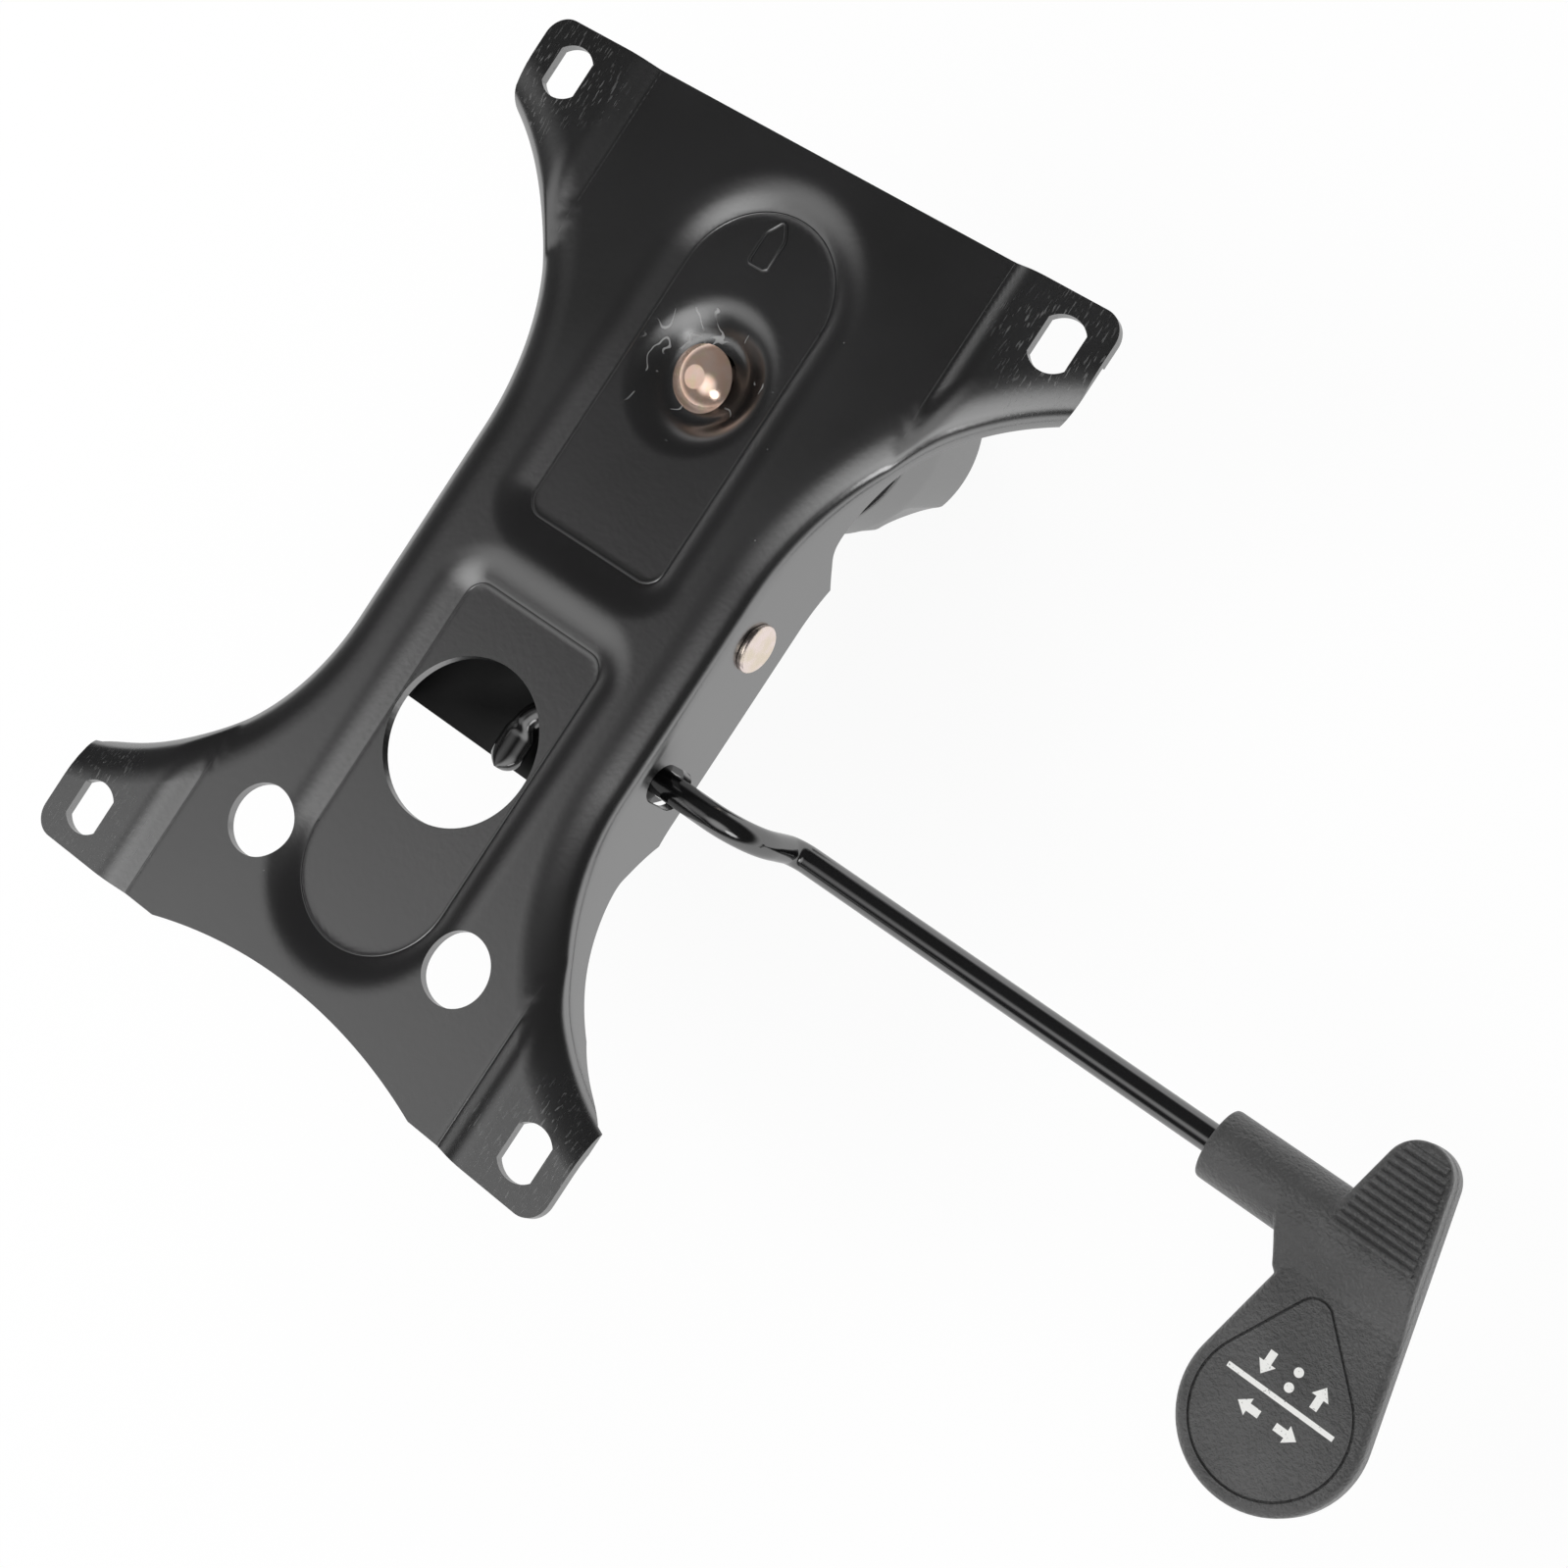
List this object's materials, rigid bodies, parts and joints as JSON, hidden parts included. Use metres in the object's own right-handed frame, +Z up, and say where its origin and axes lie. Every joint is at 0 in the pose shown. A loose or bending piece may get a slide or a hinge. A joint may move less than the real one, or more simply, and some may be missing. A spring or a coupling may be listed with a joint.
{
  "type": "office chair tilt mechanism",
  "caption": "Pressed steel seat plate that tilts on a pivot pin over a gas lift tray, with a spring tension knob on a leaning bolt and a bent lever with a plastic handle",
  "frame": {"origin": "middle of the mouth of the gas lift hub", "axes": "+Z up along the gas lift, +Y to the front of the chair, +X to the side of the lever"},
  "size_m": [0.3453, 0.239, 0.1022],
  "materials": {
    "black_plate": "satin black powder coat",
    "black_tray": "satin black coat",
    "black_rod": "gloss black coat",
    "pale_zinc": "pale zinc plating",
    "yellow_zinc": "yellow zinc plating",
    "spring_steel": "dark spring steel",
    "bush_nylon": "natural nylon",
    "stop_rubber": "black rubber",
    "knob_plastic": "black moulded plastic",
    "handle_plastic": "fine-grained black plastic",
    "inlay_plastic": "fine-grained black plastic"
  },
  "bodies": {
    "base": {"base_tray": "black_tray", "gas_lift_hub": "black_tray", "pivot_bush_left": "bush_nylon", "pivot_bush_right": "bush_nylon", "front_stop_left": "stop_rubber", "front_stop_right": "stop_rubber", "spring_seat_washer": "pale_zinc", "tension_spring": "spring_steel"},
    "seat": {"seat_plate": "black_plate", "pivot_pin": "pale_zinc", "pin_clip": "spring_steel"},
    "bolt": {"tension_bolt": "yellow_zinc", "bolt_ring": "spring_steel"},
    "travel": {"spring_cup": "black_tray"},
    "knob": {"tension_knob": "knob_plastic", "knob_nut": "pale_zinc"},
    "rocker": {"lever_bush": "bush_nylon"},
    "lever": {"lever_rod": "black_rod", "lever_handle": "handle_plastic", "handle_inlay": "inlay_plastic"}
  },
  "joints": [
    {"name": "tilt", "type": "hinge", "parent": "base", "child": "seat", "pos_m": [0, 0.035, 0.065], "axis": [1, 0, 0], "range_deg": [0, 11], "stiffness_Nm_per_rad": 40, "springref_deg": -8.59},
    {"name": "bolt_slide", "type": "slide", "parent": "base", "child": "bolt", "axis": [0, -0.2588, 0.9659], "range_m": [0, 0.0091], "deforming": ["tension_spring"]},
    {"name": "tension_travel", "type": "slide", "parent": "bolt", "child": "travel", "axis": [0, -0.2588, 0.9659], "range_m": [0, 0.00501], "deforming": ["tension_spring"]},
    {"name": "knob_turn", "type": "hinge", "parent": "travel", "child": "knob", "pos_m": [0, 0.0815, 0.075], "axis": [0, -0.2588, 0.9659], "range_deg": [0, 1440]},
    {"name": "lever_lift", "type": "hinge", "parent": "base", "child": "rocker", "pos_m": [0.03625, -0.0033, 0.0595], "axis": [0, -1, 0], "range_deg": [0, 3]},
    {"name": "lock_slide", "type": "slide", "parent": "rocker", "child": "lever", "axis": [1, 0, 0], "range_m": [-0.012, 0]}
  ],
  "couplings": [
    {"joint": "bolt_slide", "follows": "tilt", "m_per_rad": 0.0469},
    {"joint": "tension_travel", "follows": "knob_turn", "m_per_rad": 0.00019894}
  ]
}
